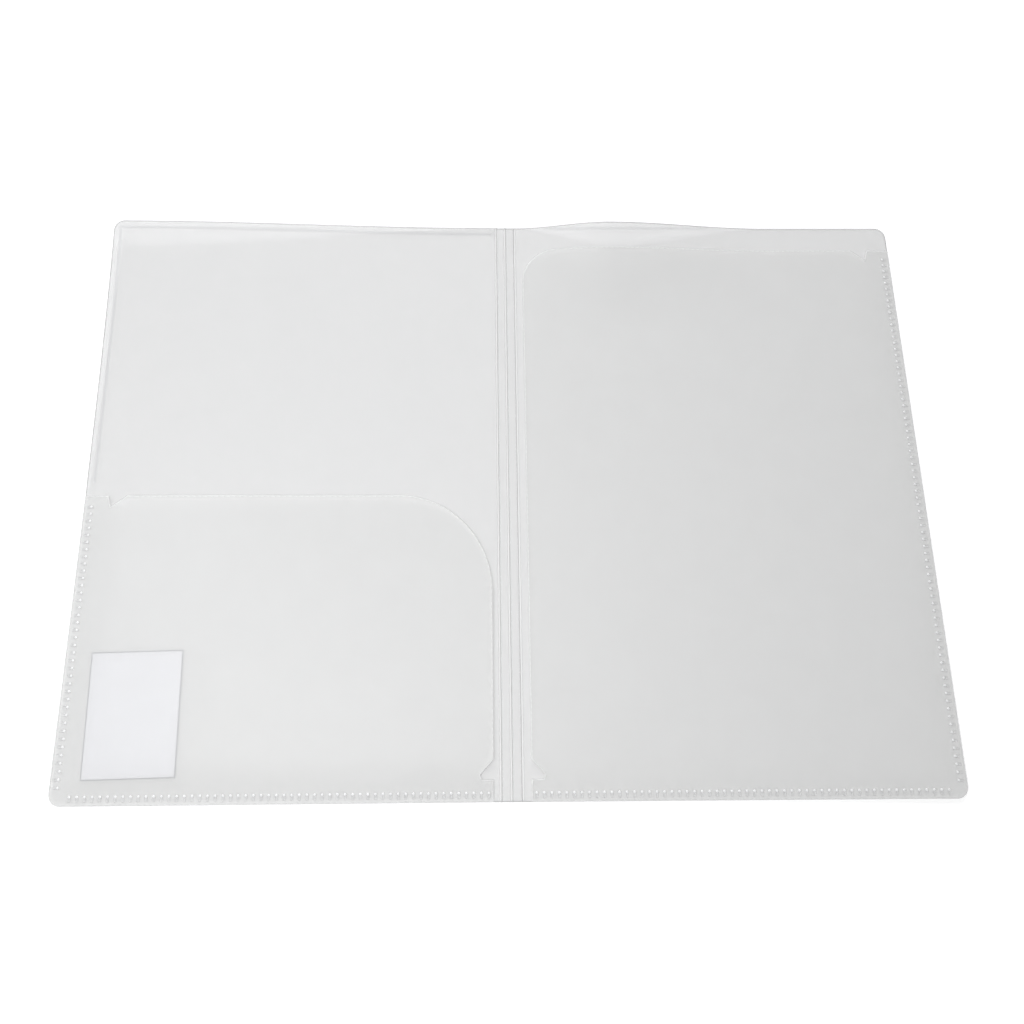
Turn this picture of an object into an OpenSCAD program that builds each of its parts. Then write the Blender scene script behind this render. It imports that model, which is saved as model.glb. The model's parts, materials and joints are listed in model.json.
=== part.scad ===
// Two-pocket A4 presentation folder, lying open with its inside up.
// X runs across both covers, Y runs up the page, Z is up. The origin is under the middle of
// the spine, on the surface that the folder lies on.

/* [Covers] */
// Width of each cover, from its crease to its outer edge
cover_w = 220; // [216:1:240]
// Height of the covers
cover_h = 310; // [300:1:340]
// Thickness of the cover sheet
sheet_t = 0.5; // [0.3:0.1:0.8]
// Radius of the covers' outer corners
cover_r = 6; // [2:1:12]

/* [Spine] */
// Distance between neighbouring creases
strip_w = 5.3; // [4:0.1:12]
// Clearance between a crease's bead and the next panel's edge
crease_gap = 0.08; // [0.05:0.01:0.15]
// Thickness of the thin web at a crease
web_t = 0.2; // [0.1:0.05:0.3]

/* [Pockets] */
// Thickness of the pocket film
film_t = 0.3; // [0.2:0.1:0.5]
// Space between a cover and its pocket film
pocket_gap = 0.5; // [0.5:0.1:2]
// Height of the left pocket, from the bottom edge
left_pocket_h = 151; // [100:1:200]
// Height of the right pocket, from the bottom edge
right_pocket_h = 295; // [240:1:298]
// Distance from the left crease to the left pocket's free edge
left_pocket_inset = 3.7; // [3:0.1:10]
// Distance from the right crease to the right pocket's free edge
right_pocket_inset = 4.4; // [2:0.1:10]
// Radius of the left pocket's free corner
left_pocket_r = 50; // [20:1:80]
// Radius of the right pocket's free corner
right_pocket_r = 20; // [10:1:60]

/* [Notches] */
// Width of the welded tab beside a mouth notch
tab_w = 12.9; // [9:0.1:16]
// Width of a mouth notch
mouth_notch_w = 10.3; // [5:0.1:12]
// Depth of a mouth notch
mouth_notch_d = 6; // [3:0.1:8]
// Distance across from the tab's corner to a mouth notch's lowest point
mouth_notch_low = 1.8; // [0:0.1:4]
// Depth of the barb notch near the bottom of a free edge
barb_d = 6.6; // [4:0.1:9]
// Height of the barb notch's lower corner above the bottom edge
barb_low = 10.4; // [7:0.1:12]
// Height of the barb notch's tip above its lower corner
barb_tip = 2.3; // [1:0.1:4]
// Distance that the barb notch's lower corner stays back from its tip
barb_back = 0.6; // [0:0.1:2]
// Height of the barb notch along the free edge
barb_h = 9.3; // [6:0.1:14]

/* [Welds] */
// Distance between neighbouring weld spots
weld_pitch = 3.7; // [3:0.1:6]
// Width of a weld spot, along the edge
weld_w = 1.5; // [0.8:0.1:2]
// Length of a weld spot, across the edge
weld_len = 3.3; // [1.5:0.1:4]
// Distance from the sheet's edge to the middle of the weld spots
weld_mid = 3.35; // [2.5:0.05:4]
// Distance from a weld row's end to the middle of its first spot
weld_start = 2.4; // [1:0.1:4]

/* [Card] */
// Width of the loose card
card_w = 46; // [30:1:90]
// Height of the loose card
card_h = 60; // [40:1:100]
// Thickness of the loose card
card_t = 0.3; // [0.2:0.05:0.4]
// Turn of the card in its pocket, in degrees
card_turn = 1.3; // [0:0.1:3]
// Distance from the left cover's outer edge to the card's lower left corner
card_x = 14.8; // [10:0.1:40]
// Distance from the bottom edge to the card's lower left corner
card_y = 11.4; // [8:0.1:40]

/* [Hidden] */

bottom_y = -cover_h / 2;
// Hinge lines of the three creases
crease_x = [-strip_w, 0, strip_w];
crease_z = sheet_t / 2;
bead_r = sheet_t / 2 - 0.03;
edge_gap = bead_r + crease_gap;
outer_x = strip_w + cover_w;
film_z = sheet_t + pocket_gap;
card_z = sheet_t + (pocket_gap - card_t) / 2;
strip_panel_w = strip_w - 2 * edge_gap;
cover_panel_w = cover_w - edge_gap;
weld_ends = [weld_mid - (weld_len - weld_w) / 2, weld_mid + (weld_len - weld_w) / 2];

cover_col = [0.91, 0.91, 0.90, 0.55];
film_col = [0.93, 0.93, 0.92, 0.45];
weld_col = [0.97, 0.97, 0.97];
card_col = [0.96, 0.97, 0.98];

// A sheet from x = 0 to w and y = 0 to h with the far corners (x = w) rounded
module sheet_outline(w, h, r) {
    square([w - r, h]);
    translate([0, r]) square([w, h - 2 * r]);
    for (y = [r, h - r]) translate([w - r, y]) circle(r = r, $fn = 96);
}

// One cover panel on the right-hand side, its creased edge at x = edge_gap
module cover_shape() {
    translate([edge_gap, 0]) sheet_outline(cover_panel_w, cover_h, cover_r);
}

// Places a shape drawn for the right-hand cover: side 1 is right, side -1 is left
module on_cover(side, z) {
    mirror([side < 0 ? 1 : 0, 0, 0]) translate([strip_w, bottom_y, z]) children();
}

// The notch beside the welded tab at a pocket's mouth
module mouth_notch(top) {
    tab_x = cover_w - tab_w;
    polygon([
        [tab_x, top + 1],
        [tab_x, top],
        [tab_x - mouth_notch_low, top - mouth_notch_d],
        [tab_x - mouth_notch_w, top],
        [tab_x - mouth_notch_w, top + 1]
    ]);
}

// The barb notch low on a pocket's free edge
module barb_notch(inset) {
    polygon([
        [inset - 1, barb_low],
        [inset + barb_d - barb_back, barb_low],
        [inset + barb_d, barb_low + barb_tip],
        [inset, barb_low + barb_h],
        [inset - 1, barb_low + barb_h]
    ]);
}

// A pocket film on the right-hand side: welded along its outer and bottom edges,
// with its free upper corner rounded to free_r
module pocket_shape(inset, top, free_r) {
    difference() {
        intersection() {
            sheet_outline(cover_w, cover_h, cover_r);
            union() {
                translate([inset, 0]) square([cover_w - inset, top - free_r]);
                translate([inset + free_r, 0]) square([cover_w - inset - free_r, top]);
                translate([inset + free_r, top - free_r]) circle(r = free_r, $fn = 180);
            }
        }
        mouth_notch(top);
        barb_notch(inset);
    }
}

// The oval outline of one weld spot, its length across the sheet's edge
module weld_spot() {
    for (x = weld_ends) translate([x, 0]) circle(d = weld_w, $fn = 24);
    translate([weld_ends[0], -weld_w / 2]) square([weld_len - weld_w, weld_w]);
}

// A row of weld spots, from one length to another along +Y, between the cover's face and
// the pocket film
module weld_row(from, to) {
    for (i = [0 : floor((to - from) / weld_pitch)])
        translate([0, from + i * weld_pitch]) linear_extrude(pocket_gap) weld_spot();
}

// The weld spots along a pocket's outer edge
module side_weld_spots(top) {
    translate([cover_w, 0]) mirror([1, 0])
        weld_row(cover_r + weld_start, top - weld_start);
}

// The weld spots along a pocket's bottom edge, starting just past the free edge
module bottom_weld_spots(inset) {
    mirror([1, -1]) weld_row(inset + weld_start, cover_w - cover_r - weld_start);
}

// A crease: the bead that the sheet folds about, and the thin web that joins it to
// the panel on its side (side 1 is right, side -1 is left)
module crease(i, side) {
    translate([crease_x[i], 0, crease_z]) {
        rotate([90, 0, 0]) cylinder(r = bead_r, h = cover_h, center = true, $fn = 32);
        translate([side * edge_gap / 2, 0, 0])
            cube([edge_gap, cover_h, web_t], center = true);
    }
}

// A flat strip of the spine between crease i and the next one
module spine_strip(i) {
    translate([crease_x[i] + edge_gap, bottom_y, 0]) cube([strip_panel_w, cover_h, sheet_t]);
}

module left_cover_panel() {
    color(cover_col) on_cover(-1, 0) linear_extrude(sheet_t) cover_shape();
}

module left_crease() {
    color(cover_col) crease(0, -1);
}

module spine_strip_left() {
    color(cover_col) spine_strip(0);
}

module centre_crease() {
    color(cover_col) crease(1, -1);
}

module spine_strip_right() {
    color(cover_col) spine_strip(1);
}

module right_crease() {
    color(cover_col) crease(2, -1);
}

module right_cover_panel() {
    color(cover_col) on_cover(1, 0) linear_extrude(sheet_t) cover_shape();
}

module left_pocket() {
    color(film_col) on_cover(-1, film_z) linear_extrude(film_t)
        pocket_shape(left_pocket_inset, left_pocket_h, left_pocket_r);
}

module right_pocket() {
    color(film_col) on_cover(1, film_z) linear_extrude(film_t)
        pocket_shape(right_pocket_inset, right_pocket_h, right_pocket_r);
}

module left_side_weld() {
    color(weld_col) on_cover(-1, sheet_t) side_weld_spots(left_pocket_h);
}

module left_bottom_weld() {
    color(weld_col) on_cover(-1, sheet_t) bottom_weld_spots(left_pocket_inset);
}

module right_side_weld() {
    color(weld_col) on_cover(1, sheet_t) side_weld_spots(right_pocket_h);
}

module right_bottom_weld() {
    color(weld_col) on_cover(1, sheet_t) bottom_weld_spots(right_pocket_inset);
}

module insert_card() {
    color(card_col)
        translate([card_x - outer_x, bottom_y + card_y, card_z])
            rotate(card_turn) cube([card_w, card_h, card_t]);
}

left_cover_panel();
left_crease();
spine_strip_left();
centre_crease();
spine_strip_right();
right_crease();
right_cover_panel();
left_pocket();
right_pocket();
left_side_weld();
left_bottom_weld();
right_side_weld();
right_bottom_weld();
insert_card();
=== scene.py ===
"""Looks of the two-pocket folder: thin frosted sheets, creases, weld spots and a paper card."""
import json
import math

import bmesh
import bpy
import numpy as np
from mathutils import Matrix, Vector
from mathutils.geometry import delaunay_2d_cdt


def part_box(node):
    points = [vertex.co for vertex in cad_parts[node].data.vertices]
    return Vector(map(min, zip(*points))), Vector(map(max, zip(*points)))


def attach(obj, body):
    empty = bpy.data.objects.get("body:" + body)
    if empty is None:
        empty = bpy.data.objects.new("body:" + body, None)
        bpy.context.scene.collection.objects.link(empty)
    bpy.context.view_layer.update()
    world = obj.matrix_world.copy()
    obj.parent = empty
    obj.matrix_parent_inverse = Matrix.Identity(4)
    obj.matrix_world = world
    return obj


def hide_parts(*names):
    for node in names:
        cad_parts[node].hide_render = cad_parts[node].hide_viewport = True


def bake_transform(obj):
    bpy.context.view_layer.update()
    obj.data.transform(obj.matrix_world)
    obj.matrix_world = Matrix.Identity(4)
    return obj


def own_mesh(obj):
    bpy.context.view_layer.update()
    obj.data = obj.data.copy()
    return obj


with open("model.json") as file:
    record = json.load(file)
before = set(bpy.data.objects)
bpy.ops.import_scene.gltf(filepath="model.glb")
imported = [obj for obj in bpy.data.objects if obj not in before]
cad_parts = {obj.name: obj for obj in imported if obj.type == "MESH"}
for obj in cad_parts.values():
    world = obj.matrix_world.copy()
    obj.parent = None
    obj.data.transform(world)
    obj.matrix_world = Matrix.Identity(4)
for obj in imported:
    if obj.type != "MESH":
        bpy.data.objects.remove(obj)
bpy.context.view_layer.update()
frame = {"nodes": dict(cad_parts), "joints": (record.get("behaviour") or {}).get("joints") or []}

MM = 0.001

# ---------------------------------------------------------------- sizes read from the frame
COVER_LO, COVER_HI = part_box("right_cover_panel")
FILM_LO, FILM_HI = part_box("right_pocket")
CARD_LO, CARD_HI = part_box("insert_card")
LEFT_POCKET_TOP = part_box("left_pocket")[1].y
OUTER_X = COVER_HI.x
BOTTOM_Y, TOP_Y = COVER_LO.y, COVER_HI.y
SHEET_T = COVER_HI.z
FILM_T = FILM_HI.z - FILM_LO.z
GAP = FILM_LO.z - SHEET_T
JOINT = {j["name"]: j for j in frame["joints"]}
CREASE_X = {side: JOINT[f"{side}_crease_fold"]["pos_m"][0] for side in ("left", "centre", "right")}
COVER_W = OUTER_X - CREASE_X["right"]

# ---------------------------------------------------------------- shape of the sheets
# The creases and the spine's strips
CREASE_HALF = 0.65 * MM         # half the width of a pressed crease
CREASE_RISE = 0.30 * MM         # height of the two ribs, and depth of the groove
CREASE_PLAY = 0.02 * MM         # space between a crease and the panels beside it
CREASE_HOLLOW = 0.12 * MM       # depth of the hollow under a rib
CREASE_HIGHLIGHT_SPAN = (-0.8, -0.05)          # its strip with a painted highlight, in half widths from the middle
CREASE_SHADE_SPAN = (0.1, 0.7)     # its strip with painted shade, likewise
CREASE_COLUMNS = 17             # points across a crease
CREASE_ROWS = 79                # points along it, between its ends
CREASE_SHARP = math.radians(50)          # edges that bend more than this are shaded sharp
STRIP_CROWN = 0.04 * MM         # rise of a spine strip's middle

# The covers' curl
LEFT_EDGE_RISE = 2.0 * MM       # rise of the left edge, all along it
TOP_LEFT_CURL = 7.0 * MM        # extra rise of the upper left corner
RIGHT_EDGE_RISE = (1.5 * MM, 0.4 * MM)   # rise of the right edge, bottom and top
ARCH = 9.0 * MM                 # rise of the arch in the right cover's top edge
ARCH_AT = 0.25                  # where the arch peaks, as a share of the cover's width
ARCH_END = 0.67                 # where it ends, likewise
ARCH_REACH = 70 * MM            # how far down the page the arch reaches
LEDGE = 0.40 * MM               # rise of the pressed rim round the bare part of the left cover
LEDGE_SPAN = (2.6 * MM, 5.2 * MM)        # distances from the edge between which it rises
LEDGE_FADE = 12 * MM            # distance over which it fades in above the left pocket

# Lines of painted shade on the covers: along the left cover's step, and a painted shadow under the
# right cover's arch
LEDGE_LINE = (3.2 * MM, 4.6 * MM)        # distances from the edge between which the step's shade is painted
ARCH_LINE = 0.42                # inset of the painted shadow line under the arch, as a share of its height
ARCH_LINE_HALF = 0.8 * MM       # half the width of that line
LINE_ROWS = (1.3, 1.9, 2.6, 3.2, 3.9, 4.6, 5.2)   # insets in mm of the points that they need

# The pocket films and the card
FILM_TOUCH = 0.08 * MM          # space between cover and film along the welds
FILM_WELDED = 3.0 * MM          # how far in the film lies that close
FILM_RAMP = 6 * MM              # distance over which it then rises to its full height
FILM_BOW = {"left": 1.6 * MM, "right": 0.7 * MM}   # how far the films stand off further in
FILM_BOW_REACH = 22 * MM        # distance from the welds over which they rise that far
CARD_FLOAT = 0.80 * MM          # how far the card floats up into the bowed pocket
CARD_TILT = 0.12 * MM           # extra height of its upper end

# Cut edges. A rim gives the insets of its rings of points, and the burr's height at each, in mm.
COVER_RIM = ((0.10, 0.0), (0.45, 0.0), (0.8, 0.0))
FILM_RIM = ((0.10, 0.02), (0.34, 0.17), (0.6, 0.09), (0.9, 0.0))
CARD_RIM = ((0.05, 0.0), (0.55, 0.0), (0.9, 0.0))
EDGE_EXTRA = 0.1                # how far past the second ring the edge material reaches, in mm
EDGE_BAND = 0.65 * MM           # how far in it reaches at the creases' ends
SEAM_BAND = 0.8 * MM            # how far from a crease a panel's side counts as joined to it
SEAM_END = 0.5 * MM             # how near its ends it still counts as cut
WALL_SHARES = (0.8, 0.5, 0.2)   # heights of the points down a cut edge, as shares of it
WALL_BULGE = 0.03 * MM          # how far the middle of a cut edge stands out

# A weld spot's section, and that of the bead at its inner end, painted white as a glint:
# share of its half width, height in mm
SPOT = ((0.0, 0.0), (0.25, 0.01), (0.5, 0.08), (0.7, 0.14), (0.85, 0.13), (1.05, 0.02),
        (1.1, -0.10))
BEAD = ((0.0, 0.22), (0.4, 0.21), (0.75, 0.16), (0.95, 0.04), (1.0, -0.10))
SPOT_SIDES = 20                 # corners of each of their rings
SPOT_CENTRE = 0.02              # smallest ring, as a share of the half width

# Reading the CAD's meshes, and making new ones
FACING_UP = 0.9                 # least upward part of an upper face's normal
LEVEL = 0.01 * MM               # how near to its node's top an upper face lies
DIGITS = 7                      # rounding of its corners, in m
SAME_POINT = 0.001 * MM         # corners of a weld spot closer than this are one
SAME_INPUT = 1e-8               # points closer than this are one when a sheet is triangulated
INSIDE_ONLY = 1                 # the triangulation's mode that leaves out what is outside
GRID = 4.0 * MM                 # spacing of the points inside a sheet
ROW_SPACING = 0.87              # spacing of the grid's rows, as a share of that
GRID_ROOM = 0.2                 # space between the innermost ring of points and the grid, in mm
EDGE_STEP = 3.0 * MM            # spacing of the points along an outline
LEAST_COSINE = 0.6              # keeps sharp corners from moving far when an outline is inset
TINY = 1e-12                    # against division by zero

# Material slots of a sheet, of a crease and of a row of weld spots
FACE, EDGE, SHADE_LINE = range(3)
PLAIN, LIT_FLANK, SHADED_FLANK, CUT = range(4)
CRATER, GLINT = range(2)


def smooth(t):
    """Eases from 0 to 1 as t goes from 0 to 1."""
    t = np.clip(t, 0, 1)
    return t * t * (3 - 2 * t)


def lift(x, y):
    """Height of the curled sheet's underside over the table."""
    x, y = np.asarray(x, float), np.asarray(y, float)
    out = np.clip((np.abs(x) - CREASE_X["right"]) / COVER_W, 0, 1)
    up = np.clip((y - BOTTOM_Y) / (TOP_Y - BOTTOM_Y), 0, 1)
    left = (LEFT_EDGE_RISE + TOP_LEFT_CURL * up**4) * (1 - np.cos(math.pi * out)) / 2
    left = left + ledge(x, y)
    low, high = RIGHT_EDGE_RISE
    right = (low + (high - low) * up) * out**2
    crest = smooth(out / ARCH_AT) * (1 - smooth((out - ARCH_AT) / (ARCH_END - ARCH_AT)))
    right = right + ARCH * crest * np.clip(1 - (TOP_Y - y) / ARCH_REACH, 0, 1) ** 2
    return np.where(x < 0, left, right)


def rim_distance(x, y):
    """Distance from the outer or the upper edge, whichever is nearer."""
    return np.minimum(OUTER_X - np.abs(x), TOP_Y - y)


def ledge(x, y):
    """The step up to the left cover's rim, along its outer and its upper edge."""
    near, far = LEDGE_SPAN
    step = 1 - smooth((rim_distance(x, y) - near) / (far - near))
    return LEDGE * step * smooth((y - LEFT_POCKET_TOP) / LEDGE_FADE)


# ---------------------------------------------------------------- outlines of the CAD nodes
def outline(node):
    """The outline of a flat CAD node's upper face, anticlockwise, as an (n, 2) array."""
    mesh = frame["nodes"][node].data
    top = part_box(node)[1].z
    ahead = set()
    for face in mesh.polygons:
        if face.normal.z > FACING_UP and abs(face.center.z - top) < LEVEL:
            corners = [mesh.vertices[i].co for i in face.vertices]
            ring = [(round(c.x, DIGITS), round(c.y, DIGITS)) for c in corners]
            ahead.update(zip(ring, ring[1:] + ring[:1]))
    following = {a: b for a, b in ahead if (b, a) not in ahead}
    start = min(following)
    loop, at = [start], following[start]
    while at != start:
        loop.append(at)
        at = following[at]
    return refine(np.array(loop))


def refine(loop):
    """Splits long edges into short ones."""
    points = []
    for p, q in zip(loop, np.roll(loop, -1, 0)):
        count = max(1, math.ceil(math.hypot(*(q - p)) / EDGE_STEP))
        points += [p + (q - p) * k / count for k in range(count)]
    return np.array(points)


def unit(v):
    """Each row of v scaled to length 1."""
    return v / np.maximum(np.hypot(v[:, 0], v[:, 1])[:, None], TINY)


def inset(loop, distance):
    """The outline moved inwards by a small distance."""
    back = unit(loop - np.roll(loop, 1, 0))
    ahead = unit(np.roll(loop, -1, 0) - loop)
    heading = back + ahead
    inward = unit(np.stack([-heading[:, 1], heading[:, 0]], 1))
    cosine = np.sum(inward * np.stack([-back[:, 1], back[:, 0]], 1), 1)
    return loop + inward * (distance / np.maximum(cosine, LEAST_COSINE))[:, None]


def to_outline(points, loop):
    """Distance of each point from an outline, negative outside it."""
    best = np.full(len(points), np.inf)
    inside = np.zeros(len(points), bool)
    for p, q in zip(loop, np.roll(loop, -1, 0)):
        d = q - p
        t = np.clip(((points - p) @ d) / (d @ d), 0, 1)
        best = np.minimum(best, np.hypot(*(points - p - t[:, None] * d).T))
        crosses = (p[1] > points[:, 1]) != (q[1] > points[:, 1])
        at = p[0] + (points[:, 1] - p[1]) * d[0] / (d[1] or TINY)
        inside ^= crosses & (points[:, 0] < at)
    return np.where(inside, best, -best)


def grid_points(loop, step):
    """A staggered grid of points over an outline's box."""
    (x0, y0), (x1, y1) = loop.min(0), loop.max(0)
    rows = np.arange(y0 + step / 2, y1, step * ROW_SPACING)
    return np.array([(x + (step / 2) * (k % 2), y)
                     for k, y in enumerate(rows) for x in np.arange(x0 + step / 4, x1, step)])


# ---------------------------------------------------------------- mesh making
def new_object(name, vertices, faces, *materials):
    """A smooth-shaded object in the scene."""
    mesh = bpy.data.meshes.new(name)
    mesh.from_pydata([tuple(v) for v in vertices], [], faces)
    mesh.shade_smooth()
    piece = bpy.data.objects.new(name, mesh)
    bpy.context.scene.collection.objects.link(piece)
    for material in materials:
        mesh.materials.append(material)
    return piece


def fill(loop, depths):
    """Triangulates an outline, with a ring of points at each depth and a grid within them.

    Returns the points, the number of the given point behind each of them, the triangles, and
    the outermost ring."""
    n = len(loop)
    inner = grid_points(loop, GRID)
    inner = inner[to_outline(inner, loop) > (depths[-1] + GRID_ROOM) * MM]
    flat = np.concatenate([*(inset(loop, d * MM) for d in depths), inner])
    rings = [(r * n + i, r * n + (i + 1) % n) for r in range(len(depths)) for i in range(n)]
    out, _, tris, source, _, _ = delaunay_2d_cdt([Vector(p) for p in flat], rings,
                                                 [list(range(n))], INSIDE_ONLY, SAME_INPUT)
    xy = np.array([tuple(v) for v in out])
    given = np.array([olds[0] if olds else 0 for olds in source])
    where = {old: new for new, olds in enumerate(source) for old in olds}
    ring = [where[i] for i in range(n)]
    tris = [tuple(t) if turns_left(*(xy[i] for i in t)) else tuple(reversed(t)) for t in tris]
    return xy, given, tris, ring


def add_walls(vertices, faces, loop, low_z, high_z, upper_ring, lower_ring):
    """Joins the upper and the lower face along the outline with a slightly rounded wall."""
    n = len(loop)
    around = [upper_ring]
    for share in WALL_SHARES:
        z = low_z + (high_z - low_z) * share
        side = loop if share == 0.5 else inset(loop, WALL_BULGE)
        around.append(list(range(len(vertices), len(vertices) + n)))
        vertices += list(np.column_stack([side, z]))
    around.append(lower_ring)
    for a, b in zip(around, around[1:]):
        faces += [(a[i], b[i], b[(i + 1) % n], a[(i + 1) % n]) for i in range(n)]


def sheet(name, loop, low, high, rim, face_material, edge_material, rows=()):
    """A closed thin sheet between the surfaces low and high, with a burr round its cut edge.

    rows gives the insets of further rings of points, inside the rim."""
    depths = [d for d, _ in rim] + list(rows)
    xy, given, tris, ring = fill(loop, depths)
    burr = np.zeros(given.max() + 1)
    n = len(loop)
    for k, (_, height) in enumerate(rim):
        burr[k * n:(k + 1) * n] = height * MM
    top_z = high(xy[:, 0], xy[:, 1]) + burr[given]
    bottom_z = low(xy[:, 0], xy[:, 1])
    count = len(xy)
    vertices = [*np.column_stack([xy, top_z]), *np.column_stack([xy, bottom_z])]
    faces = tris + [tuple(count + i for i in reversed(t)) for t in tris]
    add_walls(vertices, faces, loop, low(loop[:, 0], loop[:, 1]),
              high(loop[:, 0], loop[:, 1]) + burr[0], ring, [count + i for i in ring])
    piece = new_object(name, vertices, faces, face_material, edge_material)
    mark_edge(piece, loop, (rim[1][0] + EDGE_EXTRA) * MM)
    return piece


def turns_left(a, b, c):
    """Whether the corners a, b, c run anticlockwise."""
    return (b[0] - a[0]) * (c[1] - a[1]) - (b[1] - a[1]) * (c[0] - a[0]) > 0


def mark_edge(piece, loop, band):
    """Gives the faces near the cut edge the edge material."""
    faces = piece.data.polygons
    centres = np.array([tuple(f.center)[:2] for f in faces])
    for face, distance in zip(faces, to_outline(centres, loop)):
        if distance < band:
            face.material_index = EDGE


# ---------------------------------------------------------------- materials
def surface_nodes(name):
    """A new material, its node tree, its shader and its object coordinates."""
    material = bpy.data.materials.new(name)
    material.use_nodes = True
    tree = material.node_tree
    place = tree.nodes.new("ShaderNodeTexCoord")
    return material, tree, tree.nodes["Principled BSDF"], place.outputs["Object"]


def noise(tree, place, scale, detail, rough=0.5):
    """Adds noise, and gives its value."""
    node = tree.nodes.new("ShaderNodeTexNoise")
    node.inputs["Scale"].default_value = scale
    node.inputs["Detail"].default_value = detail
    node.inputs["Roughness"].default_value = rough
    tree.links.new(place, node.inputs["Vector"])
    return node.outputs["Fac"]


def ramp(tree, value, low, high, start=0.3, stop=0.7):
    """Adds a ramp from the colour low to the colour high, as the value goes from start to stop."""
    node = tree.nodes.new("ShaderNodeValToRGB")
    first, last = node.color_ramp.elements
    first.position, last.position = start, stop
    first.color, last.color = (*low, 1), (*high, 1)
    tree.links.new(value, node.inputs["Fac"])
    return node.outputs["Color"]


def bump(tree, height, distance, strength=1.0, under=None):
    """Adds a relief, on top of another if there is one, and gives its normal."""
    node = tree.nodes.new("ShaderNodeBump")
    node.inputs["Strength"].default_value = strength
    node.inputs["Distance"].default_value = distance
    tree.links.new(height, node.inputs["Height"])
    if under is not None:
        tree.links.new(under, node.inputs["Normal"])
    return node.outputs["Normal"]


CLOUD_SPREAD = 0.006            # how far the milky tone varies, as a share of it
ROUGH_SPREAD = 0.04             # how far the roughness varies
WAVE_DEPTH = 0.03 * MM          # the plastic's waviness,
GRAIN_DEPTH = 0.006 * MM        # its matt grain,
FIBRE_DEPTH = 0.03 * MM         # and the card's fibre


def plastic(name, tone, passes, rough):
    """Frosted polypropylene: milky and see-through, with a fine matt grain.

    passes is the share of light that goes straight through the sheet's two faces."""
    material, tree, shader, place = surface_nodes(name)
    dark, light = [tuple(c * k for c in tone) for k in (1 - CLOUD_SPREAD, 1 + CLOUD_SPREAD)]
    cloud = noise(tree, place, scale=60, detail=3)
    tree.links.new(ramp(tree, cloud, dark, light), shader.inputs["Base Color"])
    grain = noise(tree, place, scale=1800, detail=2)
    finish = ramp(tree, grain, (rough - ROUGH_SPREAD,) * 3, (rough + ROUGH_SPREAD,) * 3)
    tree.links.new(finish, shader.inputs["Roughness"])
    wave = bump(tree, noise(tree, place, scale=25, detail=1), WAVE_DEPTH)
    relief = bump(tree, grain, GRAIN_DEPTH, strength=0.5, under=wave)
    tree.links.new(relief, shader.inputs["Normal"])
    shader.inputs["Alpha"].default_value = 1 - math.sqrt(passes)
    shader.inputs["IOR"].default_value = 1.49
    return material


def paper(name, dark, light):
    """Matt card stock with a fine fibre."""
    material, tree, shader, place = surface_nodes(name)
    fibre = noise(tree, place, scale=700, detail=6, rough=0.7)
    tree.links.new(ramp(tree, fibre, dark, light), shader.inputs["Base Color"])
    shader.inputs["Roughness"].default_value = 0.75
    tree.links.new(bump(tree, fibre, FIBRE_DEPTH), shader.inputs["Normal"])
    return material


COVER_PLASTIC = plastic("cover_plastic", (0.612, 0.611, 0.610), passes=0.40, rough=0.46)
# Painted light on the creases: a pale, glossy flank as a highlight and a dark flank as shade
CREASE_PAINTED_HIGHLIGHT = plastic("crease_white", (0.86, 0.86, 0.86), passes=0.15, rough=0.22)
CREASE_PAINTED_SHADE = plastic("crease_clear", (0.36, 0.36, 0.36), passes=0.32, rough=0.22)
# Painted shade: a darker, denser band along the covers' cut edges and the creases' ends, for the
# dark line that a cut edge shows
COVER_EDGE_SHADE = plastic("cover_edge_plastic", (0.52, 0.52, 0.52), passes=0.10, rough=0.40)
# Painted shade: a darker tone for the left cover's step, and for the shadow line under the right
# cover's arch
COVER_PAINTED_SHADE = plastic("cover_step_plastic", (0.565, 0.565, 0.57), passes=0.33, rough=0.46)
FILM_PLASTIC = plastic("film_plastic", (0.848, 0.847, 0.843), passes=0.40, rough=0.42)
FILM_EDGE = plastic("film_edge_plastic", (0.85, 0.85, 0.85), passes=0.22, rough=0.30)
SPOT_PLASTIC = plastic("weld_plastic", (0.80, 0.80, 0.80), passes=0.30, rough=0.20)
# Painted highlight: the bead's near-opaque white stands in for the weld's glint
BEAD_PAINTED_GLINT = plastic("weld_bead", (0.99, 0.99, 0.99), passes=0.01, rough=0.16)
PAPER = paper("card_paper", dark=(0.90, 0.90, 0.95), light=(0.95, 0.95, 0.99))
# Painted shadow: a dark band round the card's top and cut edge, for the shadow that lies round the
# card
CARD_EDGE_PAINTED_SHADOW = paper("card_cut_edge", dark=(0.08, 0.09, 0.13), light=(0.12, 0.13, 0.17))


# ---------------------------------------------------------------- the covers and the spine
def cover(side, node):
    """One cover, curled up at its edges, from the crease to its cut edge."""
    loop = outline(node)
    seam = CREASE_X[side]
    if side == "left":
        loop[:, 0] = np.minimum(loop[:, 0], seam - CREASE_HALF)
    else:
        loop[:, 0] = np.maximum(loop[:, 0], seam + CREASE_HALF)
    piece = sheet(f"{side}_cover_sheet", loop, lift, lambda x, y: lift(x, y) + SHEET_T,
                  COVER_RIM, COVER_PLASTIC, COVER_EDGE_SHADE, LINE_ROWS)
    plain_crease_side(piece, abs(seam) + CREASE_HALF)
    # Paints shade along the left cover's step, and a shadow line under the right cover's arch
    paint_shade_line(piece, on_ledge_line if side == "left" else on_arch_line)
    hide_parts(node)
    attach(piece, f"{side}_cover")
    return piece


def on_ledge_line(x, y):
    """Whether a point is on the pressed step round the bare part of the left cover, where its
    shade is painted.
    """
    near, far = LEDGE_LINE
    return y > LEFT_POCKET_TOP + LEDGE_FADE / 2 and near < rim_distance(x, y) < far


def on_arch_line(x, y):
    """Whether a point is on the painted shadow line under the arch in the right cover's upper
    edge.
    """
    depth = ARCH_LINE * lift(x, TOP_Y)
    return depth > MM and abs(TOP_Y - y - depth) < ARCH_LINE_HALF


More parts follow.
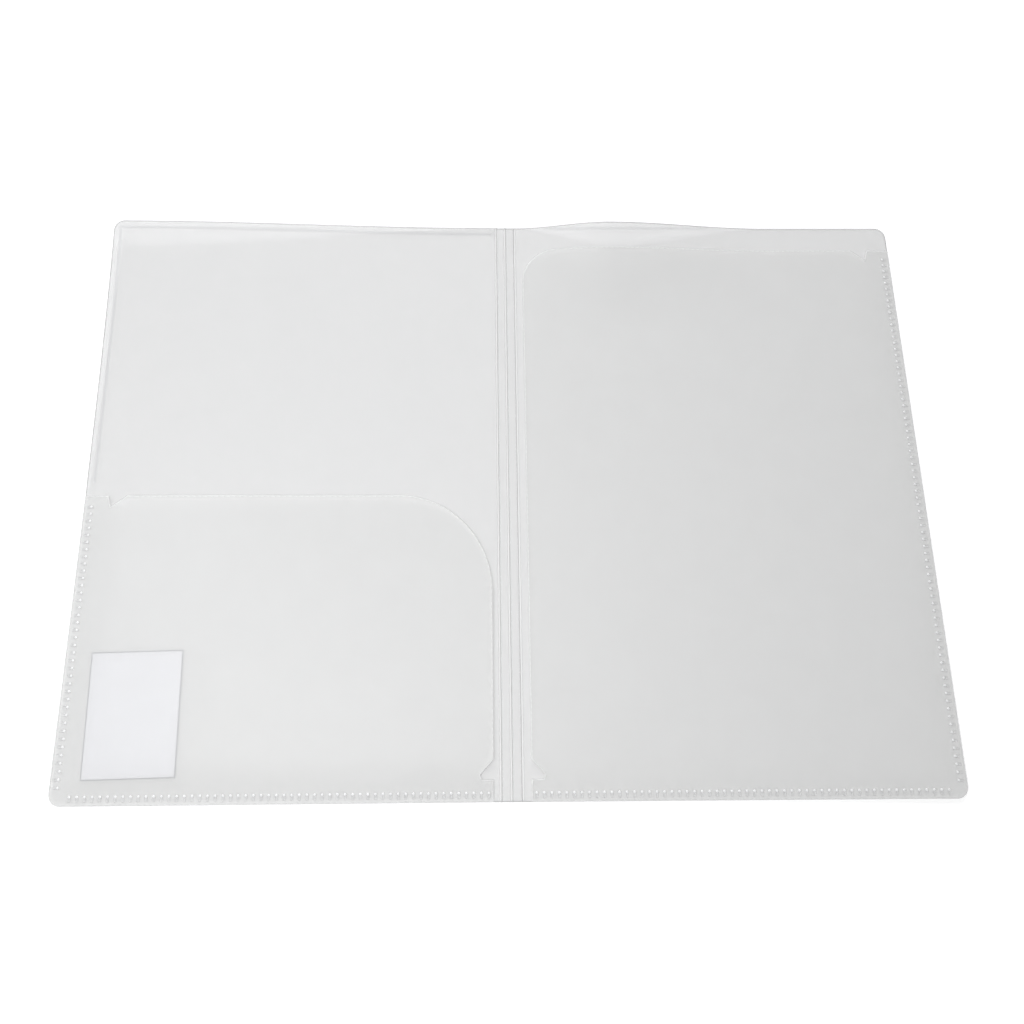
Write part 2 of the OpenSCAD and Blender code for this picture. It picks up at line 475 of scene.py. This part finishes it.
def paint_shade_line(piece, on_line):
    """Gives the faces on a line of a cover a darker, denser tone: painted shade."""
    piece.data.materials.append(COVER_PAINTED_SHADE)
    for face in piece.data.polygons:
        if on_line(face.center.x, face.center.y):
            face.material_index = SHADE_LINE


def plain_crease_side(piece, x):
    """The side that runs on into a crease isn't a cut edge."""
    for face in piece.data.polygons:
        away = abs(abs(face.center.x) - x)
        if away < SEAM_BAND and BOTTOM_Y + SEAM_END < face.center.y < TOP_Y - SEAM_END:
            face.material_index = FACE


def strip(name, node, body, left, right):
    """A flat strip of the spine, crowned by a hair."""
    x0, x1 = CREASE_X[left] + CREASE_HALF, CREASE_X[right] - CREASE_HALF
    middle, half = (x0 + x1) / 2, (x1 - x0) / 2
    loop = refine(np.array([(x0, BOTTOM_Y), (x1, BOTTOM_Y), (x1, TOP_Y), (x0, TOP_Y)]))

    def crown(x, _):
        return SHEET_T + STRIP_CROWN * (1 - ((x - middle) / half) ** 2)

    piece = sheet(name, loop, lambda x, y: 0 * x, crown, COVER_RIM, COVER_PLASTIC, COVER_EDGE_SHADE)
    plain_crease_side(piece, abs(x0))
    plain_crease_side(piece, abs(x1))
    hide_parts(node)
    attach(piece, body)


def crease(name, node, centre, rise):
    """A pressed crease between the two panels beside it: a rib where rise is above
    0, and otherwise a groove."""
    us = np.linspace(-1, 1, CREASE_COLUMNS)
    half = CREASE_HALF - CREASE_PLAY
    bell = (1 - us**2) ** 2
    under = CREASE_HOLLOW * bell if rise > 0 else 0 * bell
    top = [(centre + u * half, SHEET_T + rise * b) for u, b in zip(us, bell)]
    low = [(centre + u * half, z) for u, z in zip(us, under)]
    section = top + low[::-1]
    n = len(section)
    along = np.linspace(BOTTOM_Y + EDGE_BAND, TOP_Y - EDGE_BAND, CREASE_ROWS)
    ys = np.concatenate([[BOTTOM_Y], along, [TOP_Y]])
    vertices = [(x, y, z) for y in ys for x, z in section]
    faces = [(r * n + i, (r + 1) * n + i, (r + 1) * n + (i + 1) % n, r * n + (i + 1) % n)
             for r in range(len(ys) - 1) for i in range(n)]
    faces += [tuple(range(n)), tuple(reversed(range((len(ys) - 1) * n, len(ys) * n)))]
    piece = new_object(name, vertices, faces,
                       COVER_PLASTIC, CREASE_PAINTED_HIGHLIGHT, CREASE_PAINTED_SHADE, COVER_EDGE_SHADE)
    shade_crease(piece, us * (1 if rise > 0 else -1), n, len(ys))
    piece.data.set_sharp_from_angle(angle=CREASE_SHARP)
    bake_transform(piece)
    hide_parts(node)


def shade_crease(piece, us, around, rows):
    """Paints a highlight on one flank of a crease and shade on the other, and makes its two ends
    cut edges.
    """
    middles = (us[1:] + us[:-1]) / 2
    highlit, shadowed = [(middles > near) & (middles < far)
                         for near, far in (CREASE_HIGHLIGHT_SPAN, CREASE_SHADE_SPAN)]
    shades = [int(k) for k in np.select([highlit, shadowed], [LIT_FLANK, SHADED_FLANK], PLAIN)]
    shades += [PLAIN] * (around - len(middles))
    for face in piece.data.polygons:
        row, column = divmod(face.index, around)
        face.material_index = shades[column] if 0 < row < rows - 2 else CUT


left_cover = cover("left", "left_cover_panel")
right_cover = cover("right", "right_cover_panel")
strip("left_spine_strip", "spine_strip_left", "spine_left", "left", "centre")
strip("right_spine_strip", "spine_strip_right", "spine_right", "centre", "right")
crease("left_crease_rib", "left_crease", CREASE_X["left"], CREASE_RISE)
crease("centre_crease_rib", "centre_crease", CREASE_X["centre"], CREASE_RISE)
crease("right_crease_groove", "right_crease", CREASE_X["right"], -CREASE_RISE)


# ---------------------------------------------------------------- pockets and weld spots
def spots(node):
    """Each weld spot of a CAD node: its middle, and its half size each way."""
    mesh = frame["nodes"][node].data
    work = bmesh.new()
    work.from_mesh(mesh)
    bmesh.ops.remove_doubles(work, verts=work.verts, dist=SAME_POINT)
    seen, found = set(), []
    for vertex in work.verts:
        if vertex in seen:
            continue
        part, edge = [], [vertex]
        seen.add(vertex)
        while edge:
            at = edge.pop()
            part.append((at.co.x, at.co.y))
            fresh = {e.other_vert(at) for e in at.link_edges} - seen
            seen |= fresh
            edge += fresh
        low, high = np.min(part, 0), np.max(part, 0)
        found.append((*(low + high) / 2, *(high - low) / 2))
    work.free()
    return np.array(sorted(found))


def film_low(x, y):
    """Underside of a pocket film: on the cover along its welds, clear of it further in."""
    x, y = np.asarray(x, float), np.asarray(y, float)
    inward = np.minimum(OUTER_X - np.abs(x), y - BOTTOM_Y)
    rise = smooth((inward - FILM_WELDED) / FILM_RAMP)
    bow = np.where(x < 0, FILM_BOW["left"], FILM_BOW["right"]) * smooth(inward / FILM_BOW_REACH)
    return lift(x, y) + SHEET_T + FILM_TOUCH + (GAP - FILM_TOUCH) * rise + bow


def pocket(side, node):
    """One pocket film."""
    piece = sheet(f"{side}_pocket_film", outline(node), film_low,
                  lambda x, y: film_low(x, y) + FILM_T, FILM_RIM, FILM_PLASTIC, FILM_EDGE)
    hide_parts(node)
    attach(piece, f"{side}_cover")
    return piece


def ring_cap(vertices, faces, middle, half, section):
    """Adds a low closed cap of oval rings, following a section, onto the pocket film."""
    around = SPOT_SIDES
    r = min(half)
    first = len(vertices)
    for share, height in section:
        for k in range(around):
            a = 2 * math.pi * (k + 0.5) / around
            reach = max(share, SPOT_CENTRE) * r
            x = middle[0] + reach * math.cos(a) + math.copysign(half[0] - r, math.cos(a))
            y = middle[1] + reach * math.sin(a) + math.copysign(half[1] - r, math.sin(a))
            vertices.append((x, y, float(film_low(x, y)) + FILM_T + height * MM))
    last = first + (len(section) - 1) * around
    for a in range(first, last, around):
        b = a + around
        faces += [(a + k, b + k, b + (k + 1) % around, a + (k + 1) % around)
                  for k in range(around)]
    faces.append(tuple(first + k for k in range(around)))
    faces.append(tuple(last + k for k in reversed(range(around))))


def weld_spots(name, node, body):
    """Each spot: an oval crater with a raised lip, and a bead at its inner end painted white as a
    glint.
    """
    vertices, faces, kinds = [], [], []
    for cx, cy, hx, hy in spots(node):
        r = min(hx, hy)
        inner = (cx - math.copysign(hx - r, cx), cy + hy - r)
        ring_cap(vertices, faces, (cx, cy), (hx, hy), SPOT)
        kinds += [CRATER] * (len(faces) - len(kinds))
        ring_cap(vertices, faces, inner, (r, r), BEAD)
        kinds += [GLINT] * (len(faces) - len(kinds))
    piece = new_object(name, vertices, faces, SPOT_PLASTIC, BEAD_PAINTED_GLINT)
    for face in piece.data.polygons:
        face.material_index = kinds[face.index]
    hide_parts(node)
    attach(piece, body)
    return piece


# The curled pieces, each with the side that it is on
soft = {left_cover: "left", right_cover: "right"}
for side in ("left", "right"):
    soft[pocket(side, f"{side}_pocket")] = side
    for weld in (f"{side}_side_weld", f"{side}_bottom_weld"):
        soft[weld_spots(f"{weld}_spots", weld, f"{side}_cover")] = side


# ---------------------------------------------------------------- the card
def card():
    """The loose card, floating in the bowed pocket."""
    loop = outline("insert_card")

    def rise(x, y):
        along = (y - CARD_LO.y) / (CARD_HI.y - CARD_LO.y)
        return lift(x, y) + CARD_FLOAT + CARD_TILT * along

    # The card's rim band carries the painted shadow
    piece = sheet("card_sheet", loop, lambda x, y: CARD_LO.z + rise(x, y),
                  lambda x, y: CARD_HI.z + rise(x, y), CARD_RIM, PAPER, CARD_EDGE_PAINTED_SHADOW)
    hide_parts("insert_card")
    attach(piece, "card")
    return piece


soft[card()] = "left"

# Each curled piece gets a mesh of its own.
for piece, side in soft.items():
    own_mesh(piece)


# ---------------------------------------------------------------- floor, lights and camera
FLOOR_SIZE = 40
FLOOR_DROP = 0.05 * MM          # space between the floor and the folder
FLOOR_GLOW = 0.39
FLOOR_TONE = 0.8
HORIZON, ZENITH = 0.64, 0.27    # brightness of the surroundings, level and overhead
HORIZON_TOP, ZENITH_FROM = 0.15, 0.45    # heights on the unit sphere between which it fades
# The camera, fitted to the photo: it hangs over the page's lower half, tilted towards its top
LENS, SENSOR = 31.74, 36        # mm
SHIFT = (0.0244, -0.1289)       # as shares of the picture
CAMERA_PLACE = (-0.0196, -0.0871, 0.4836)
CAMERA_TURN = (17.075, -0.904, -0.338)   # degrees


def stage():
    """A plain white floor that glows a little, as an overexposed table does."""
    bpy.ops.mesh.primitive_plane_add(size=FLOOR_SIZE, location=(0, 0, -FLOOR_DROP))
    floor = bpy.context.object
    floor.name = "floor"
    material, _, shader, _ = surface_nodes("floor_white")
    shader.inputs["Base Color"].default_value = (FLOOR_TONE, FLOOR_TONE, FLOOR_TONE, 1)
    shader.inputs["Roughness"].default_value = 0.9
    shader.inputs["Specular IOR Level"].default_value = 0.0
    shader.inputs["Emission Color"].default_value = (1, 1, 1, 1)
    shader.inputs["Emission Strength"].default_value = FLOOR_GLOW
    floor.data.materials.append(material)


def area_light(name, place, aim, size, energy, tint=(1, 1, 1)):
    """A lamp that is size[0] wide, and size[1] long towards the page's top."""
    data = bpy.data.lights.new(name, "AREA")
    data.shape = "ELLIPSE"
    data.size, data.size_y = size
    data.energy = energy
    data.color = tint
    lamp = bpy.data.objects.new(name, data)
    bpy.context.scene.collection.objects.link(lamp)
    lamp.location = place
    lamp.rotation_euler = (Vector(aim) - Vector(place)).to_track_quat("-Z", "Y").to_euler()


def lights():
    """Two small lamps for the glints on edges and welds, and three soft ones."""
    cool = (0.96, 0.98, 1.0)
    area_light("back", place=(-0.45, 1.25, 0.90), aim=(0, 0, 0), size=(0.05, 0.05),
               energy=5.5, tint=cool)
    area_light("back_soft", place=(0.05, 1.30, 1.15), aim=(0, 0, 0), size=(0.70, 0.70),
               energy=9.0)
    area_light("top", place=(-0.55, 0.03, 1.20), aim=(0, 0, 0), size=(0.04, 0.04),
               energy=3.2, tint=cool)
    area_light("top_soft", place=(-0.05, 0.0, 0.80), aim=(-0.05, 0, 0), size=(0.30, 0.30),
               energy=0.65)
    area_light("left_soft", place=(-0.16, -0.20, 0.50), aim=(-0.09, -0.20, 0),
               size=(0.14, 0.40), energy=0.85)


def studio_world():
    """Soft light from all round, a little stronger from the horizon."""
    world = bpy.context.scene.world or bpy.data.worlds.new("world")
    bpy.context.scene.world = world
    world.use_nodes = True
    tree = world.node_tree
    direction = tree.nodes.new("ShaderNodeTexCoord").outputs["Generated"]
    split = tree.nodes.new("ShaderNodeSeparateXYZ")
    tree.links.new(direction, split.inputs["Vector"])
    shade = ramp(tree, split.outputs["Z"], (HORIZON,) * 3, (ZENITH,) * 3,
                 HORIZON_TOP, ZENITH_FROM)
    tree.links.new(shade, tree.nodes["Background"].inputs["Color"])
    tree.nodes["Background"].inputs["Strength"].default_value = 1.0


def camera():
    """A camera at the photograph's viewing angle."""
    data = bpy.data.cameras.new("camera")
    data.lens = LENS
    data.sensor_width = SENSOR
    data.shift_x, data.shift_y = SHIFT
    eye = bpy.data.objects.new("camera", data)
    bpy.context.scene.collection.objects.link(eye)
    eye.location = CAMERA_PLACE
    eye.rotation_euler = [math.radians(a) for a in CAMERA_TURN]
    bpy.context.scene.camera = eye


stage()
lights()
studio_world()
camera()
bpy.context.scene.view_settings.view_transform = "Standard"
bpy.context.scene.view_settings.look = "None"
# Closed, the folder is eight thin faces deep, or ten at the card. Light has to get through
# more than that.
bpy.context.scene.cycles.transparent_max_bounces = 32
